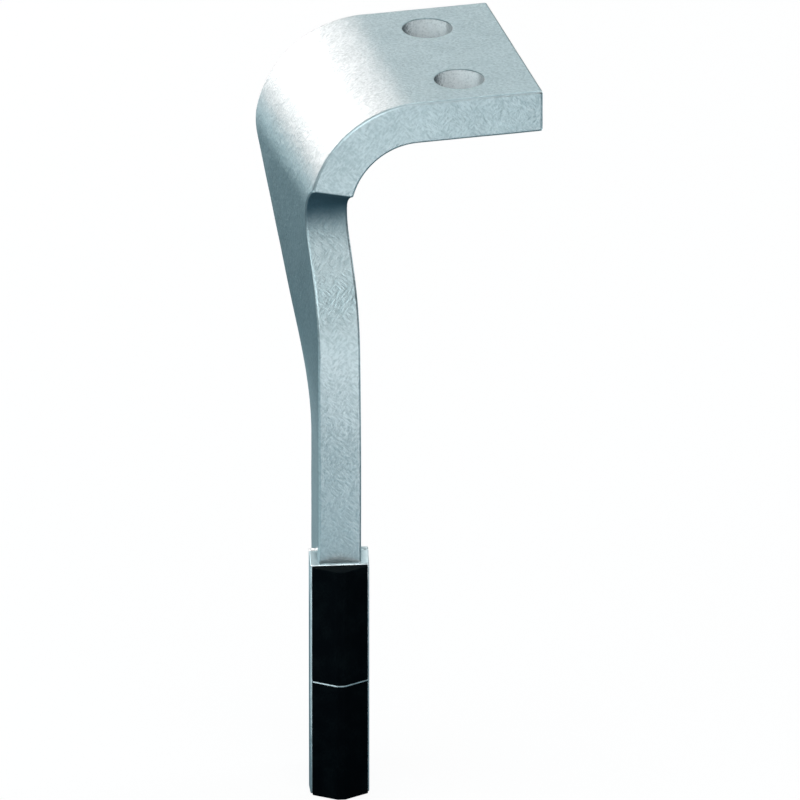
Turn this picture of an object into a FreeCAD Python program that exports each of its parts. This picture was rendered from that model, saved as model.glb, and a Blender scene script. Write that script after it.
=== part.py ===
import FreeCAD, Part
import math
import os

# A bolt-on tine for a power harrow: one forging of flat stock with a flange, a bend of 90 degrees,
# a shouldered, tapering and twisted blade, and a wider seat at the tip that carries two hard tiles.
# Millimetres and degrees. The origin is the middle of the two bolt holes, on top of the flange.
# X runs along the flange to its free end, Y to the trailing side, Z up; the blade hangs down.

# Stock and flange
STOCK_THICKNESS = 18.0
EDGE_BREAK = 0.8
FLANGE_WIDTH = 97.0
FLANGE_END_OVERHANG = 30.4
HOLE_DIAMETER = 21.0
HOLE_SPACING = 55.0
HOLE_RIM = 0.3

# Bend
BEND_INNER_RADIUS = 28.0
BLADE_TO_HOLE_DISTANCE = 68.6

# Shoulder and leading edge of the blade
SHOULDER_ANGLE = 76.5
NOTCH_RADIUS = 15.3
NOTCH_DEPTH = 7.6
SWEEP_ANGLE = 36.0
SWEEP_RADIUS = 62.0
TIP_LEAD = 15.0

# Trailing edge of the blade and its twist
TAPER_START_ANGLE = 78.0
TAPER_ANGLE = 50.3
TAPER_TOP_RADIUS = 15.0
TAPER_FOOT_RADIUS = 72.0
BLADE_DEPTH = 35.0
TWIST_ANGLE = 9.0
TWIST_START = 88.0
TWIST_END = 151.0
OVERALL_HEIGHT = 300.0

# Tile seat at the tip
SEAT_WIDTH = 24.5
SEAT_DEPTH = 7.6
SEAT_RAMP = 4.7
SEAT_EDGE_RADIUS = 0.3

# Hard tiles and the braze that holds them
TILE_WIDTH = 23.0
TILE_HEIGHT = 51.2
TILE_EDGE_THICKNESS = 2.2
TILE_RIDGE_RISE = 5.7
TILE_RIDGE_FLAT = 3.3
TILE_EDGE_CHAMFER = 0.25
BRAZE_THICKNESS = 0.25
BRAZE_WIDTH = 24.2
BRAZE_JOINT = 0.5
BRAZE_JOINT_SHY = 0.08

# Greatest spacing of the sections that the blade is skinned over: degrees in the bend, then millimetres
BEND_SECTION_STEP = 2.9
BLADE_SECTION_STEP = 5.0

# Places that follow from the sizes
BEND_OUTER_RADIUS = BEND_INNER_RADIUS + STOCK_THICKNESS
OUTER_PLANE_X = -BLADE_TO_HOLE_DISTANCE
BEND_CENTRE_X = OUTER_PLANE_X + BEND_OUTER_RADIUS
BEND_CENTRE_Z = -BEND_OUTER_RADIUS
FRONT_Y = -FLANGE_WIDTH / 2
REAR_Y = FLANGE_WIDTH / 2
TIP_Z = -OVERALL_HEIGHT
TIP_FRONT_Y = FRONT_Y - TIP_LEAD
TIP_REAR_Y = TIP_FRONT_Y + BLADE_DEPTH
TILES_TOP_Z = TIP_Z + 2 * TILE_HEIGHT + BRAZE_JOINT
UP = FreeCAD.Vector(0, 0, 1)
ACROSS = FreeCAD.Vector(0, 1, 0)

# Distance under which two places count as the same
NEAR = 0.01


def vector(x, y, z):
    return FreeCAD.Vector(x, y, z)


def tangent_depth(radius, angle):
    """How far an arc of this radius runs sideways while it turns through the angle."""
    return radius * (1 - math.cos(math.radians(angle)))


def tangent_run(radius, angle):
    """How far an arc of this radius runs along the strip while it turns through the angle."""
    return radius * math.sin(math.radians(angle))


def bend_run(angle):
    """Run along the outer face to an angle in the bend; it is 0 at the end of the bend."""
    return -BEND_OUTER_RADIUS * math.radians(90 - angle)


def leading_edge(run):
    """Y of the blade's front edge; run is measured along the outer face from the end of the bend."""
    notch_bottom = FRONT_Y + NOTCH_DEPTH
    shoulder_run = bend_run(SHOULDER_ANGLE)
    start_angle = math.degrees(math.acos(1 - NOTCH_DEPTH / NOTCH_RADIUS))
    notch_middle = shoulder_run + tangent_run(NOTCH_RADIUS, start_angle)
    notch_end = notch_middle + tangent_run(NOTCH_RADIUS, SWEEP_ANGLE)
    if run <= notch_end:
        across = math.sqrt(NOTCH_RADIUS ** 2 - (run - notch_middle) ** 2)
        return notch_bottom - NOTCH_RADIUS + across
    slope = math.tan(math.radians(SWEEP_ANGLE))
    notch_end_y = notch_bottom - tangent_depth(NOTCH_RADIUS, SWEEP_ANGLE)
    straight_drop = notch_end_y - TIP_FRONT_Y - tangent_depth(SWEEP_RADIUS, SWEEP_ANGLE)
    straight_end = notch_end + straight_drop / slope
    if run <= straight_end:
        return notch_end_y - slope * (run - notch_end)
    sweep_end = straight_end + tangent_run(SWEEP_RADIUS, SWEEP_ANGLE)
    if run <= sweep_end:
        left = sweep_end - run
        return TIP_FRONT_Y + SWEEP_RADIUS - math.sqrt(SWEEP_RADIUS ** 2 - left ** 2)
    return TIP_FRONT_Y


def trailing_edge(run):
    """Y of the blade's rear edge before the twist, at the same run."""
    run = run - bend_run(TAPER_START_ANGLE)
    if run <= 0:
        return REAR_Y
    top_end = tangent_run(TAPER_TOP_RADIUS, TAPER_ANGLE)
    if run <= top_end:
        return REAR_Y - TAPER_TOP_RADIUS + math.sqrt(TAPER_TOP_RADIUS ** 2 - run ** 2)
    slope = math.tan(math.radians(TAPER_ANGLE))
    top_end_y = REAR_Y - tangent_depth(TAPER_TOP_RADIUS, TAPER_ANGLE)
    straight_drop = top_end_y - TIP_REAR_Y - tangent_depth(TAPER_FOOT_RADIUS, TAPER_ANGLE)
    straight_end = top_end + straight_drop / slope
    if run <= straight_end:
        return top_end_y - slope * (run - top_end)
    foot_end = straight_end + tangent_run(TAPER_FOOT_RADIUS, TAPER_ANGLE)
    if run <= foot_end:
        left = foot_end - run
        return TIP_REAR_Y + TAPER_FOOT_RADIUS - math.sqrt(TAPER_FOOT_RADIUS ** 2 - left ** 2)
    return TIP_REAR_Y


def twist_at(depth):
    """Twist of the blade at a depth below the flange's top, easing in and out."""
    share = (depth - TWIST_START) / (TWIST_END - TWIST_START)
    share = min(max(share, 0.0), 1.0)
    return TWIST_ANGLE * share ** 2 * (3 - 2 * share)


def section_points(front, rear):
    """Corners of the strip's section with broken edges, in order, standing at the end of the bend."""
    middle = OUTER_PLANE_X + STOCK_THICKNESS / 2
    half = STOCK_THICKNESS / 2
    flat = half - EDGE_BREAK
    pairs = [
        (-flat, front),
        (flat, front),
        (half, front + EDGE_BREAK),
        (half, rear - EDGE_BREAK),
        (flat, rear),
        (-flat, rear),
        (-half, rear - EDGE_BREAK),
        (-half, front + EDGE_BREAK),
    ]
    return [vector(middle + x, y, BEND_CENTRE_Z) for x, y in pairs]


def turned(points, centre, axis, angle):
    """The points turned about an axis through a centre."""
    rotation = FreeCAD.Rotation(axis, angle)
    return [centre + rotation.multVec(point - centre) for point in points]


def bend_section(angle, front, rear):
    """Section of the strip in the bend, at an angle from the flange (0) to the blade (90)."""
    centre = vector(BEND_CENTRE_X, 0, BEND_CENTRE_Z)
    return turned(section_points(front, rear), centre, ACROSS, 90 - angle)


def blade_section(depth):
    """Section of the blade at a depth below the flange's top, turned about its leading face."""
    run = depth - BEND_OUTER_RADIUS
    front = leading_edge(run)
    drop = vector(0, 0, BEND_OUTER_RADIUS - depth)
    points = [point + drop for point in section_points(front, trailing_edge(run))]
    pivot = vector(OUTER_PLANE_X + STOCK_THICKNESS / 2, front, 0)
    return turned(points, pivot, UP, -twist_at(depth))


def section_face(points):
    """Flat face with these corners."""
    return Part.Face(Part.makePolygon(points + points[:1]))


def flange_and_bend():
    """Flat flange and the bend down to the shoulder, both of the full width."""
    section = section_face(bend_section(0, FRONT_Y, REAR_Y))
    length = FLANGE_END_OVERHANG - BEND_CENTRE_X
    flange = section.extrude(vector(length, 0, 0))
    end_edges = [edge for edge in flange.Edges if edge.BoundBox.XMin > FLANGE_END_OVERHANG - NEAR]
    flange = flange.makeChamfer(EDGE_BREAK, end_edges)
    axis_point = vector(BEND_CENTRE_X, 0, BEND_CENTRE_Z)
    bend = section.revolve(axis_point, ACROSS, -SHOULDER_ANGLE)
    return flange.fuse(bend)


def stations(start, end, step):
    """Evenly spaced values from start to end, both included, no further apart than step."""
    count = math.ceil((end - start) / step)
    return [start + (end - start) * index / count for index in range(count + 1)]


def rail(points, runs):
    """Smooth curve through one corner of every section."""
    curve = Part.BSplineCurve()
    curve.interpolate(Points=points, Parameters=runs)
    return curve.toShape()


def skinned(sections, runs):
    """Solid between the first and last of a row of sections, with ruled sides between its rails."""
    rails = [rail(list(corner), runs) for corner in zip(*sections)]
    faces = [section_face(sections[0]), section_face(sections[-1])]
    for first, second in zip(rails, rails[1:] + rails[:1]):
        faces.append(Part.makeRuledSurface(first, second))
    shell = Part.makeShell(faces)
    shell.sewShape()
    solid = Part.makeSolid(shell)
    solid.fix(NEAR, NEAR, NEAR)
    return solid


def shouldered_blade():
    """Strip from the shoulder to the end of the twist, skinned, and the straight tip below it."""
    sections = []
    runs = []
    for angle in stations(SHOULDER_ANGLE, 90, BEND_SECTION_STEP):
        run = bend_run(angle)
        runs.append(run)
        sections.append(bend_section(angle, leading_edge(run), trailing_edge(run)))
    for depth in stations(BEND_OUTER_RADIUS, TWIST_END, BLADE_SECTION_STEP)[1:]:
        runs.append(depth - BEND_OUTER_RADIUS)
        sections.append(blade_section(depth))
    upper = skinned(sections, runs)
    lower = section_face(blade_section(TWIST_END)).extrude(vector(0, 0, TIP_Z + TWIST_END))
    return upper.fuse(lower)


def at_tip(shape):
    """Moves a shape from the tip's own frame, X across and Y back from the leading face."""
    shape.rotate(vector(0, 0, 0), UP, -TWIST_ANGLE)
    shape.translate(vector(OUTER_PLANE_X + STOCK_THICKNESS / 2, TIP_FRONT_Y, 0))
    return shape


def tile_seat():
    """Wider head of the tip behind the tiles, with ramped shoulders at its top."""
    top = TILES_TOP_Z + SEAT_RAMP
    outline = [
        vector(-SEAT_WIDTH / 2, 0, TIP_Z),
        vector(-SEAT_WIDTH / 2, 0, TILES_TOP_Z),
        vector(-SEAT_WIDTH / 2, SEAT_RAMP, top),
        vector(-SEAT_WIDTH / 2, SEAT_DEPTH, top),
        vector(-SEAT_WIDTH / 2, SEAT_DEPTH, TIP_Z),
    ]
    face = Part.Face(Part.makePolygon(outline + outline[:1]))
    seat = face.extrude(vector(SEAT_WIDTH, 0, 0))
    return at_tip(seat.makeFillet(SEAT_EDGE_RADIUS, long_side_edges(seat)))


def long_side_edges(seat):
    """The seat's edges along its two sides, apart from those at its flat bottom."""
    chosen = []
    for edge in seat.Edges:
        box = edge.BoundBox
        if box.XLength < NEAR and box.ZMax > TIP_Z + NEAR:
            chosen.append(edge)
    return chosen


def bolt_holes(diameter, depth):
    """One cylinder for each bolt hole, from the flange's top down to this depth."""
    holes = []
    for side in (-1, 1):
        base = vector(0, side * HOLE_SPACING / 2, -depth)
        holes.append(Part.makeCylinder(diameter / 2, depth, base))
    return holes


def hole_rims():
    """Small countersinks that break the top and bottom rims of the bolt holes."""
    inner = HOLE_DIAMETER / 2
    outer = inner + HOLE_RIM
    rims = []
    for side in (-1, 1):
        y = side * HOLE_SPACING / 2
        rims.append(Part.makeCone(inner, outer, HOLE_RIM, vector(0, y, -HOLE_RIM)))
        rims.append(Part.makeCone(outer, inner, HOLE_RIM, vector(0, y, -STOCK_THICKNESS)))
    return rims


def tine_body():
    """The whole forging as one solid."""
    body = flange_and_bend().fuse([shouldered_blade(), tile_seat()])
    body = body.cut(bolt_holes(HOLE_DIAMETER, STOCK_THICKNESS) + hole_rims())
    body = body.removeSplitter()
    return body


def roof_outline(back, shy):
    """Cross-section of a tile: flat back, thin edges and a ridge, drawn in by shy all round."""
    half = TILE_WIDTH / 2 - shy
    edge = back - TILE_EDGE_THICKNESS + shy
    ridge = back - TILE_EDGE_THICKNESS - TILE_RIDGE_RISE + shy
    return [
        vector(-half, back, 0),
        vector(-half, edge, 0),
        vector(-TILE_RIDGE_FLAT / 2, ridge, 0),
        vector(TILE_RIDGE_FLAT / 2, ridge, 0),
        vector(half, edge, 0),
        vector(half, back, 0),
    ]


def roof_prism(bottom, height, back, shy):
    """Upright prism with the tile's cross-section."""
    points = roof_outline(back, shy)
    prism = Part.Face(Part.makePolygon(points + points[:1])).extrude(vector(0, 0, height))
    prism.translate(vector(0, 0, bottom))
    return prism


def tile(bottom):
    """One hard tile with its exposed edges broken."""
    solid = roof_prism(bottom, TILE_HEIGHT, -BRAZE_THICKNESS, 0)
    back = -BRAZE_THICKNESS - NEAR
    exposed = [edge for edge in solid.Edges if edge.BoundBox.YMin < back]
    return at_tip(solid.makeChamfer(TILE_EDGE_CHAMFER, exposed))


def braze_layer():
    """Braze under both tiles, and the thin wall of it that shows between them."""
    height = TILES_TOP_Z - TIP_Z
    corner = vector(-BRAZE_WIDTH / 2, -BRAZE_THICKNESS, TIP_Z)
    bed = Part.makeBox(BRAZE_WIDTH, BRAZE_THICKNESS, height, corner)
    wall = roof_prism(TIP_Z + TILE_HEIGHT, BRAZE_JOINT, -BRAZE_THICKNESS, BRAZE_JOINT_SHY)
    return at_tip(bed.fuse(wall).removeSplitter())


NODES = {
    "tine_body": tine_body(),
    "upper_tile": tile(TIP_Z + TILE_HEIGHT + BRAZE_JOINT),
    "lower_tile": tile(TIP_Z),
    "braze_layer": braze_layer(),
}

os.makedirs("parts", exist_ok=True)
for name, shape in NODES.items():
    shape.exportStep("parts/" + name + ".step")
    box = shape.BoundBox
    print(name, shape.isValid(), len(shape.Solids), "faces", len(shape.Faces))
    print("  volume mm3", round(shape.Volume), "Z", round(box.ZMin, 2), round(box.ZMax, 2))
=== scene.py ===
"""Dresses the power harrow tine: a forged strip with a bend, a twisted blade and two hard tiles.

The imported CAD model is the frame. The forging is skinned by Geometry Nodes over a row of
stations, with the same rule and the same sizes as the solid that it stands for. Sizes in the
classes are millimetres and degrees; meshes are metres.
"""
import logging
import math
from dataclasses import dataclass, field
from enum import Enum
from typing import Callable, Dict, List, Optional, Sequence, Tuple, Union

import bmesh
import bpy
from mathutils import Matrix, Vector


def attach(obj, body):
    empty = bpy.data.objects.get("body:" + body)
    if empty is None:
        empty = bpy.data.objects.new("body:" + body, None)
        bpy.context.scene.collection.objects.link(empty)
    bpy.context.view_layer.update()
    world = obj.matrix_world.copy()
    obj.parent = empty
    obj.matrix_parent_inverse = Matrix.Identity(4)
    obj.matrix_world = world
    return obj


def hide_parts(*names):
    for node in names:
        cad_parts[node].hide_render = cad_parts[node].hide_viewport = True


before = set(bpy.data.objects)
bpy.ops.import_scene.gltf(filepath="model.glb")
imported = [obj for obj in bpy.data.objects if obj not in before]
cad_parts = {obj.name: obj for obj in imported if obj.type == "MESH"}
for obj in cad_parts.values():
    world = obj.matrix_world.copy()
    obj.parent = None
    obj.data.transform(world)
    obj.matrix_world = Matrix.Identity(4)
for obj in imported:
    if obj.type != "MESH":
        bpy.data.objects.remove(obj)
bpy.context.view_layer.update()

LOG = logging.getLogger("tine")
MM = 0.001
BODY = "root"
EDGE_WEAR_AND_HIGHLIGHT = "edge_wear"
SHARP_ANGLE = 25.0
BEVEL_SEGMENTS = 3
WHITE = (1.0, 1.0, 1.0, 1.0)
NOISE_MIDDLE = 0.5

Colour = Tuple[float, float, float]
Point = Tuple[float, float, float]
Span = Tuple[float, float]
Shares = Tuple[float, ...]


class Slot(Enum):
    """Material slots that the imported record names."""

    STEEL = "forged_steel"
    CARBIDE = "tungsten_carbide"
    BRAZE = "silver_braze"


# Sockets, expressions and trees


class Wire:
    """A node's output that takes part in Python arithmetic, adding a Math node for each sign."""

    def __init__(self, plan: "Plan", socket: bpy.types.NodeSocket) -> None:
        """Wraps an output socket of the plan's tree."""
        self.plan = plan
        self.socket = socket

    def _math(self, operation: str, *values: "Value") -> "Wire":
        """Result of a Math node, by the sum's name and its operands in order."""
        links = dict(enumerate(values))
        return self.plan.wire("ShaderNodeMath", {"operation": operation}, links)

    def __add__(self, other: "Value") -> "Wire":
        """Sum of the two."""
        return self._math("ADD", self, other)

    __radd__ = __add__

    def __sub__(self, other: "Value") -> "Wire":
        """Difference of the two."""
        return self._math("SUBTRACT", self, other)

    def __rsub__(self, other: "Value") -> "Wire":
        """Difference with the wire on the right."""
        return self._math("SUBTRACT", other, self)

    def __mul__(self, other: "Value") -> "Wire":
        """Product of the two."""
        return self._math("MULTIPLY", self, other)

    __rmul__ = __mul__

    def __truediv__(self, other: "Value") -> "Wire":
        """Quotient of the two."""
        return self._math("DIVIDE", self, other)

    def __rtruediv__(self, other: "Value") -> "Wire":
        """Quotient with the wire on the right."""
        return self._math("DIVIDE", other, self)

    def __abs__(self) -> "Wire":
        """Size without the sign."""
        return self._math("ABSOLUTE", self)

    def root(self) -> "Wire":
        """Square root."""
        return self._math("SQRT", self)

    def floor(self) -> "Wire":
        """Whole number below."""
        return self._math("FLOOR", self)

    def smooth(self, low: float, high: float) -> "Wire":
        """Eases from 0 at the low value to 1 at the high one."""
        settings = {"interpolation_type": "SMOOTHSTEP"}
        return self.plan.wire("ShaderNodeMapRange", settings, {0: self, 1: low, 2: high})

    def smooth_mm(self, low: float, high: float) -> "Wire":
        """Eases a place in metres from 0 to 1 between two places in millimetres."""
        return self.smooth(low * MM, high * MM)

    def parts(self) -> Tuple["Wire", "Wire", "Wire"]:
        """X, Y and Z of a vector."""
        split = self.plan.node("ShaderNodeSeparateXYZ", None, {0: self})
        return tuple(Wire(self.plan, output) for output in split.outputs)


Value = Union[Wire, float, int]


def weighted(weights: Sequence[float], wires: Sequence[Wire]) -> Wire:
    """Sum of the wires, each times its weight."""
    terms = [weight * wire for weight, wire in zip(weights, wires)]
    return sum(terms[1:], terms[0])


class Plan:
    """A node tree with one way to add a node."""

    def __init__(self, tree: bpy.types.NodeTree) -> None:
        """Wraps a shader or geometry tree, empty or not."""
        self.tree = tree

    def node(self, kind: str, settings: Optional[dict] = None,
             links: Optional[dict] = None) -> bpy.types.Node:
        """Adds a node.

        Args:
            kind: Type name of the node.
            settings: Its own properties, set first.
            links: Values or wires of its inputs, by name or number.

        Returns:
            The new node.
        """
        made = self.tree.nodes.new(kind)
        for name, value in (settings or {}).items():
            setattr(made, name, value)
        for name, value in (links or {}).items():
            if isinstance(value, Wire):
                self.tree.links.new(value.socket, made.inputs[name])
            else:
                made.inputs[name].default_value = value
        return made

    def wire(self, kind: str, settings: Optional[dict] = None, links: Optional[dict] = None,
             output: Union[int, str] = 0) -> Wire:
        """Adds a node as above and returns the output of that number or name."""
        return Wire(self, self.node(kind, settings, links).outputs[output])


class ShaderPlan(Plan):
    """The tree of a material or of the world, with the nodes that finishes share."""

    def __init__(self, owner: Union[bpy.types.Material, bpy.types.World]) -> None:
        """Empties the owner's tree and wraps it."""
        owner.use_nodes = True
        owner.node_tree.nodes.clear()
        super().__init__(owner.node_tree)

    def place(self, turn: Point = (0.0, 0.0, 0.0), stretch: float = 1.0) -> Wire:
        """Object coordinates for a pattern that is drawn out along one turned axis.

        Args:
            turn: Degrees that turn the X axis to the pattern's long direction.
            stretch: How many times longer the pattern gets along it.

        Returns:
            The coordinates.
        """
        base = self.wire("ShaderNodeTexCoord", None, None, "Object")
        angles = tuple(math.radians(angle) for angle in turn)
        return self.wire("ShaderNodeMapping", {"vector_type": "TEXTURE"},
                         {"Vector": base, "Rotation": angles, "Scale": (stretch, 1.0, 1.0)})

    def noise(self, place: Wire, size: float, detail: float = 3.0, rough: float = 0.5) -> Wire:
        """Soft noise about NOISE_MIDDLE: size of its lumps in millimetres, and finer layers."""
        links = {"Vector": place, "Scale": 1.0 / (size * MM), "Detail": detail,
                 "Roughness": rough}
        return self.wire("ShaderNodeTexNoise", None, links)

    def mix(self, share: Value, low: Union[Wire, Colour], high: Union[Wire, Colour]) -> Wire:
        """Blend of two colours.

        Args:
            share: Share of the second colour.
            low: First colour.
            high: Second colour.

        Returns:
            The blend.
        """
        # A Mix node's colours are its inputs 6 and 7 and its output 2.
        first, second = [side if isinstance(side, Wire) else (*side, 1.0)
                         for side in (low, high)]
        links = {0: share, 6: first, 7: second}
        return self.wire("ShaderNodeMix", {"data_type": "RGBA"}, links, 2)

    def bump(self, height: Wire, depth: float, strength: float) -> Wire:
        """Normal bent by a height from 0 to 1, whose full depth is in millimetres."""
        links = {"Strength": strength, "Distance": depth * MM, "Height": height}
        return self.wire("ShaderNodeBump", None, links)

    def close(self, surface: Wire, kind: str = "ShaderNodeOutputMaterial") -> None:
        """Ends the tree with its output."""
        self.node(kind, None, {"Surface": surface})


class GeometryPlan(Plan):
    """A Geometry Nodes tree with named inputs, which a modifier runs on an object."""

    def __init__(self, name: str, kinds: Dict[str, str]) -> None:
        """Makes the tree.

        Args:
            name: Name of the tree.
            kinds: Kind of each input, by its name. One input is the material "Finish".
        """
        super().__init__(bpy.data.node_groups.new(name, "GeometryNodeTree"))
        sockets = self.tree.interface
        sockets.new_socket("Geometry", in_out="OUTPUT", socket_type="NodeSocketGeometry")
        self.keys = {
            title: sockets.new_socket(
                title, in_out="INPUT", socket_type="NodeSocket" + kind).identifier
            for title, kind in kinds.items()}
        given = self.node("NodeGroupInput")
        self.inputs = {title: Wire(self, given.outputs[title]) for title in kinds}

    def vector(self, operation: str, *values: Wire) -> Wire:
        """A Vector Math node."""
        settings = {"operation": operation}
        return self.wire("ShaderNodeVectorMath", settings, dict(enumerate(values)))

    def scaled(self, way: Wire, length: Wire) -> Wire:
        """A vector times a number."""
        links = {0: way, "Scale": length}
        return self.wire("ShaderNodeVectorMath", {"operation": "SCALE"}, links)

    def lumps(self, place: Wire, seed: Wire, scale: Wire, detail: float) -> Wire:
        """Seeded noise over a surface."""
        return self.wire("ShaderNodeTexNoise", {"noise_dimensions": "4D"},
                         {"Vector": place, "W": seed, "Scale": scale, "Detail": detail})

    def swollen(self, body: Wire, height: Wire) -> Wire:
        """A surface moved out along its normals."""
        offset = self.scaled(self.wire("GeometryNodeInputNormal"), height)
        return self.wire("GeometryNodeSetPosition", None, {"Geometry": body, "Offset": offset})

    def close(self, body: Wire) -> None:
        """Ends the tree with smooth shading, real instances and the finish."""
        smooth = self.wire("GeometryNodeSetShadeSmooth", None, {"Geometry": body})
        real = self.wire("GeometryNodeRealizeInstances", None, {"Geometry": smooth})
        dressed = self.wire("GeometryNodeSetMaterial", None,
                            {"Geometry": real, "Material": self.inputs["Finish"]})
        self.node("NodeGroupOutput", None, {"Geometry": dressed})

    def run_on(self, target: bpy.types.Object, values: Dict[str, object]) -> None:
        """Adds the tree to an object as a modifier.

        Args:
            target: The object, not evaluated yet.
            values: Value of each input, by its name.
        """
        modifier = target.modifiers.new(self.tree.name, "NODES")
        modifier.node_group = self.tree
        for name, value in values.items():
            modifier[self.keys[name]] = value


# Finishes


@dataclass(frozen=True)
class Finish:
    """What every finish shares: the material's name, a base colour and its gloss."""

    name: str
    colour: Colour
    roughness: float
    metallic: float

    def material(self) -> bpy.types.Material:
        """Builds the material.

        Returns:
            The finished material.
        """
        made = bpy.data.materials.new(self.name)
        plan = ShaderPlan(made)
        plan.close(plan.wire("ShaderNodeBsdfPrincipled", None,
                             {"Metallic": self.metallic, **self.dress(plan)}))
        return made

    def dress(self, plan: ShaderPlan) -> Dict[str, Value]:
        """What feeds the shader in the material's tree, by the shader's socket names."""
        raise NotImplementedError


@dataclass(frozen=True)
class ForgedSteel(Finish):
    """Blasted forging: cool grey, satin, with fine grain, faint scars and lighter edges, partly
    rubbed and partly a painted highlight.

    The bolt holes are bored and pale, with painted shade on the side towards the bend and,
    fainter, at the far end of each. The recess under the shoulder is painted dark as shade, and
    the relief fades towards the tip. Spans give the two ends of an eased step, in millimetres
    where they are places.
    """

    shade: Colour = (0.39, 0.47, 0.49)
    cloud_size: float = 16.0
    grain_size: float = 0.9
    grain_layers: float = 4.0
    grain_rough: float = 0.62
    cell_size: float = 3.4
    stroke_width: float = 0.95
    stroke_stretch: float = 3.2
    stroke_patch: float = 7.0
    patch_edge: Span = (0.38, 0.62)
    rising: Point = (0.0, -42.0, 35.0)
    falling: Point = (0.0, 40.0, -25.0)

    mottle_weights: Shares = (0.60, 0.25, 0.15)
    mottle_edge: Span = (0.36, 0.62)
    mottle_middle: float = 0.6
    height_weights: Shares = (0.30, 0.35, 0.80)
    relief_depth: float = 0.34
    relief_strength: float = 0.54
    relief_fade: Span = (-240.0, -120.0)
    relief_least: float = 0.42
    grain_matt: float = 0.12

    # Lighter edges: partly rubbed steel, partly a painted highlight.
    wear_and_highlight_colour: Colour = (0.80, 0.85, 0.86)
    wear_least: float = 0.7
    wear_cloud: float = 0.6
    wear_edge: Span = (0.05, 0.5)
    wear_gloss: float = 0.10
    wear_flattening: float = 0.75
    blade_foot: Span = (-190.0, -188.0)
    blade_head: Span = (-60.0, -45.0)
    blade_dulling: float = 0.8

    hole_radius: float = 10.5
    hole_offset: float = 27.5
    hole_edge: float = 0.3
    hole_foot: Span = (-20.0, -19.0)
    rim_reach: float = 3.0
    wall_reach: float = 0.4
    wall_top: Span = (-0.8, -0.3)
    wall_oxide: float = 0.95
    bored: Colour = (0.95, 0.95, 0.95)
    # Painted light and shade in the bolt holes: dark on the side towards the bend, pale past it,
    # dimmer again at the far end.
    painted_bore_shade: Colour = (0.03, 0.05, 0.06)
    bore_ragged: float = 6.0
    painted_shade_span: Span = (-9.5, -3.5)
    painted_far_shade_span: Span = (8.5, 10.2)
    painted_far_shade_share: float = 0.5
    bore_least: float = 0.45

    # Painted shade: colour of the recess under the shoulder, where the shoulder's shadow falls.
    scale: Colour = (0.06, 0.115, 0.145)
    hollow_matt: float = 0.25
    hollow_facing: Span = (-0.5, -0.2)
    hollow_rear: Span = (-36.0, -30.0)
    hollow_front: Span = (-48.5, -47.9)
    hollow_fade: Span = (-63.0, -44.0)
    hollow_waver: float = 4.0

    def dress(self, plan: ShaderPlan) -> Dict[str, Value]:
        """Builds what feeds the shader.

        Args:
            plan: The material's tree.

        Returns:
            Values and wires by the shader's socket names.
        """
        place = plan.place()
        along, across, up = place.parts()
        cloud = plan.noise(place, self.cloud_size, 2.0)
        grain = plan.noise(place, self.grain_size, self.grain_layers, self.grain_rough)
        links = {"Vector": place, "Scale": 1.0 / (self.cell_size * MM), "Randomness": 1.0}
        cells = plan.wire("ShaderNodeTexVoronoi", {"feature": "SMOOTH_F1"}, links)
        strokes = self._strokes(plan, place)
        # Edges made lighter, partly rubbed and partly a painted highlight, left out near the
        # bolt holes.
        wear_and_highlight = self._wear_and_highlight(plan, up, cloud) * (1.0 - self._near_hole(place, self.rim_reach))
        bore = self._near_hole(place, self.wall_reach) * (1.0 - up.smooth_mm(*self.wall_top))
        # Mask of the painted shade in the recess under the shoulder.
        painted_shoulder_shade = self._painted_shoulder_shade(plan, across, up, cloud)
        faded = 1.0 - self.relief_least
        relief = self.relief_least + faded * up.smooth_mm(*self.relief_fade)

        mottle = weighted(self.mottle_weights, (strokes, grain, cloud))
        mottle = mottle.smooth(*self.mottle_edge) - self.mottle_middle
        base = plan.mix(self.mottle_middle + mottle * relief, self.shade, self.colour)
        # Painted shade in the recess under the shoulder.
        base = plan.mix(painted_shoulder_shade, base, self.scale)
        # Painted highlight on the edges, partly also rubbed steel.
        base = plan.mix(wear_and_highlight, base, self.wear_and_highlight_colour)
        base = plan.mix(bore, base, self._bore_wall(plan, along, grain))
        rough = self.roughness + self.grain_matt * (grain - NOISE_MIDDLE)
        height = weighted(self.height_weights, (grain, cells, strokes))
        height = height * relief * (1.0 - self.wear_flattening * wear_and_highlight)
        return {
            "Base Color": base,
            "Roughness": rough - self.wear_gloss * wear_and_highlight + self.hollow_matt * painted_shoulder_shade,
            "Metallic": self.metallic - self.wall_oxide * bore,
            "Normal": plan.bump(height, self.relief_depth, self.relief_strength),
        }

    def _strokes(self, plan: ShaderPlan, place: Wire) -> Wire:
        """Short slanting strokes of the surface's relief, in two directions that take turns.

        Args:
            plan: The material's tree.
            place: Object coordinates.

        Returns:
            The strokes' height, about 0.5 on average.
        """
        turn = plan.noise(place, self.stroke_patch, 1.0).smooth(*self.patch_edge)
        rising, falling = [
            plan.noise(plan.place(way, self.stroke_stretch), self.stroke_width, 2.0)
            for way in (self.rising, self.falling)]
        return rising + turn * (falling - rising)

    def _wear_and_highlight(self, plan: ShaderPlan, up: Wire, cloud: Wire) -> Wire:
        """Mask of the edges that are made lighter, partly rubbed and partly a painted highlight,
        and fainter along the blade.

        Args:
            plan: The material's tree.
            up: Height on the tine.
            cloud: Slow noise that makes the wear uneven.

        Returns:
            The mask, 1 on the brightest edges.
        """
        edges = plan.wire("ShaderNodeAttribute", {"attribute_name": EDGE_WEAR_AND_HIGHLIGHT}, None, "Fac")
        rubbed = edges * (self.wear_least + self.wear_cloud * cloud)
        blade = up.smooth_mm(*self.blade_foot) * (1.0 - up.smooth_mm(*self.blade_head))
        return rubbed.smooth(*self.wear_edge) * (1.0 - self.blade_dulling * blade)

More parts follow.
